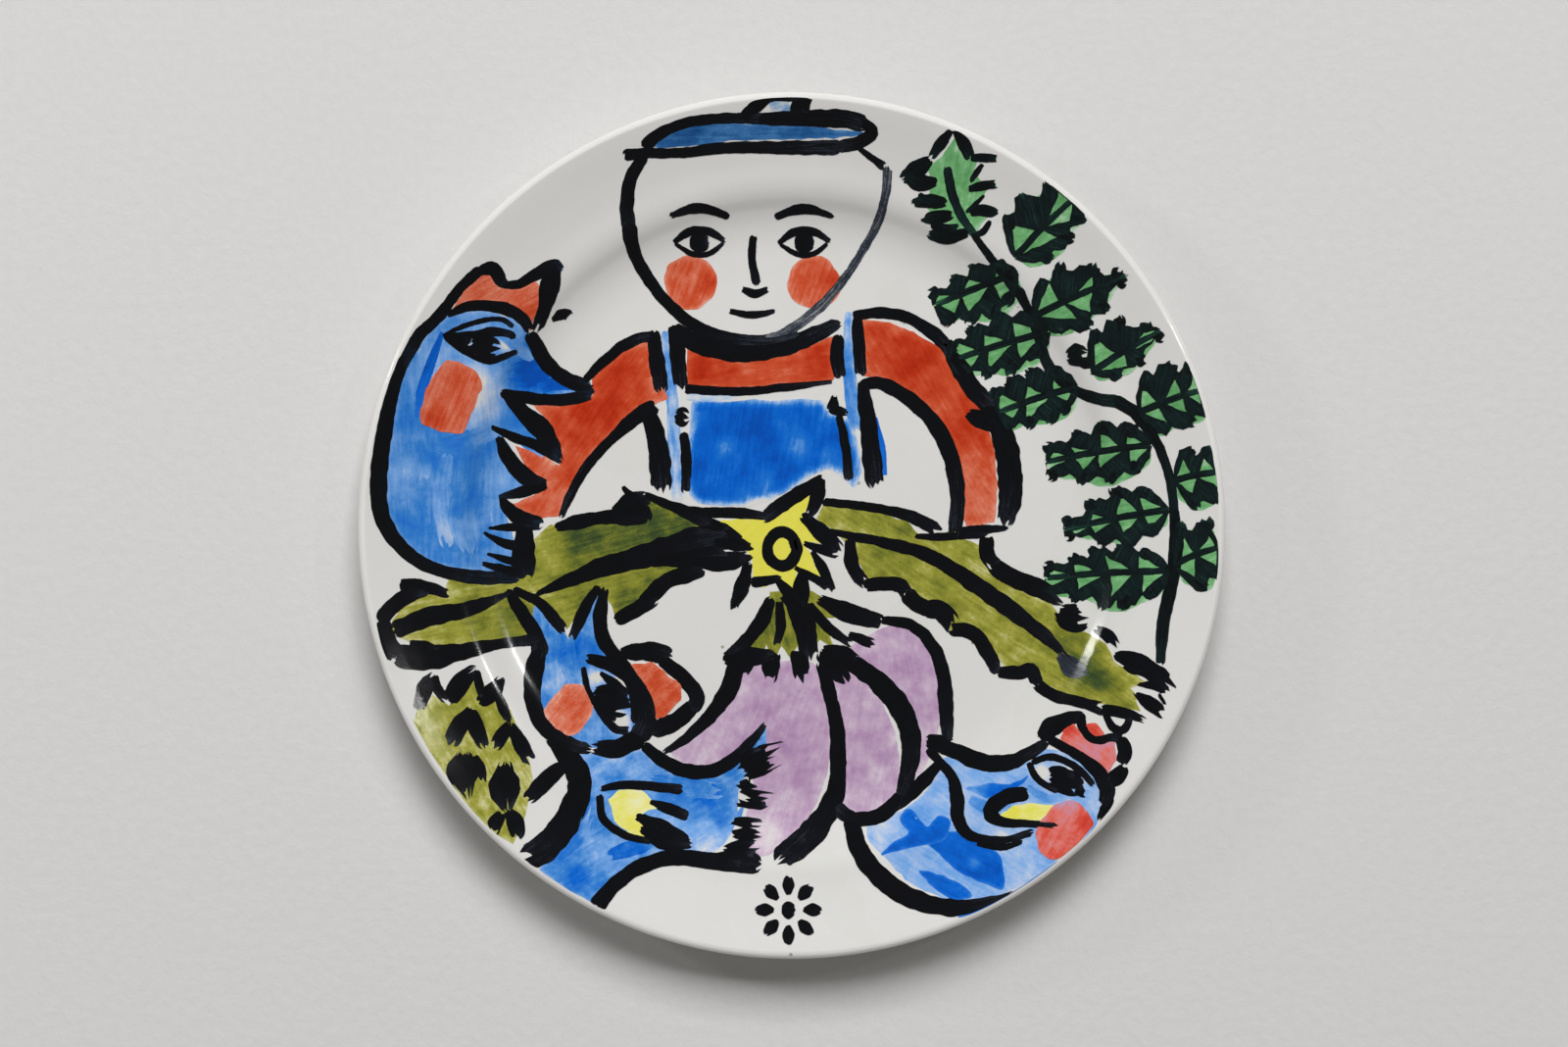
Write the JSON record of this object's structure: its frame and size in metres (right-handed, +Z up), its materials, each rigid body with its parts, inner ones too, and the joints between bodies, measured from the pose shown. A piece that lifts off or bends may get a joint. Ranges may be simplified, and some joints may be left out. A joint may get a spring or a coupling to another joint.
{
  "type": "painted plate",
  "caption": "Round glazed ceramic plate with a flared rim, a shallow well and a foot ring, its face brush-painted with a figure, birds, leaves, a flower and aubergines.",
  "frame": {"origin": "on the table under the plate's centre, in the plane of the foot ring's standing face", "axes": "+Z up through the middle of the plate, +Y towards the top of the painting, +X towards its right"},
  "size_m": [0.27, 0.27, 0.0233],
  "materials": {
    "bare_clay": "matt fired clay, bare only on the standing face of the foot ring",
    "white_glaze": "glossy white glaze with a few fine specks",
    "black_line": "glossy blue-black brush line, watery and ragged at its ends",
    "cobalt_blue": "glossy streaky cobalt wash",
    "pale_blue": "glossy thin blue wash with darker strokes",
    "orange_red": "glossy streaky orange-red wash",
    "yellow": "glossy lemon yellow wash",
    "olive_green": "glossy olive wash in two depths",
    "leaf_green": "glossy thin green wash",
    "mauve": "glossy mottled mauve wash"
  },
  "bodies": {
    "root": {"clay_body": "bare_clay", "face_glaze": "white_glaze", "back_glaze": "white_glaze", "foot_recess_glaze": "white_glaze", "cap_blue": "cobalt_blue", "shirt_red": "orange_red", "overalls_blue": "cobalt_blue", "cheeks_red": "orange_red", "face_lines": "black_line", "figure_lines": "black_line", "big_bird_blue": "pale_blue", "big_bird_red": "orange_red", "big_bird_lines": "black_line", "left_bird_blue": "pale_blue", "left_bird_red": "orange_red", "left_bird_wing": "yellow", "left_bird_lines": "black_line", "right_bird_blue": "cobalt_blue", "right_bird_red": "orange_red", "right_bird_beak": "yellow", "right_bird_lines": "black_line", "left_leaf_green": "olive_green", "right_leaf_green": "olive_green", "leaf_lines": "black_line", "flower_yellow": "yellow", "calyx_green": "olive_green", "flower_lines": "black_line", "aubergine_purple": "mauve", "aubergine_lines": "black_line", "cone_green": "olive_green", "cone_marks": "black_line", "sprig_leaves": "leaf_green", "sprig_lines": "black_line", "rim_flower_mark": "black_line"}
  },
  "joints": []
}
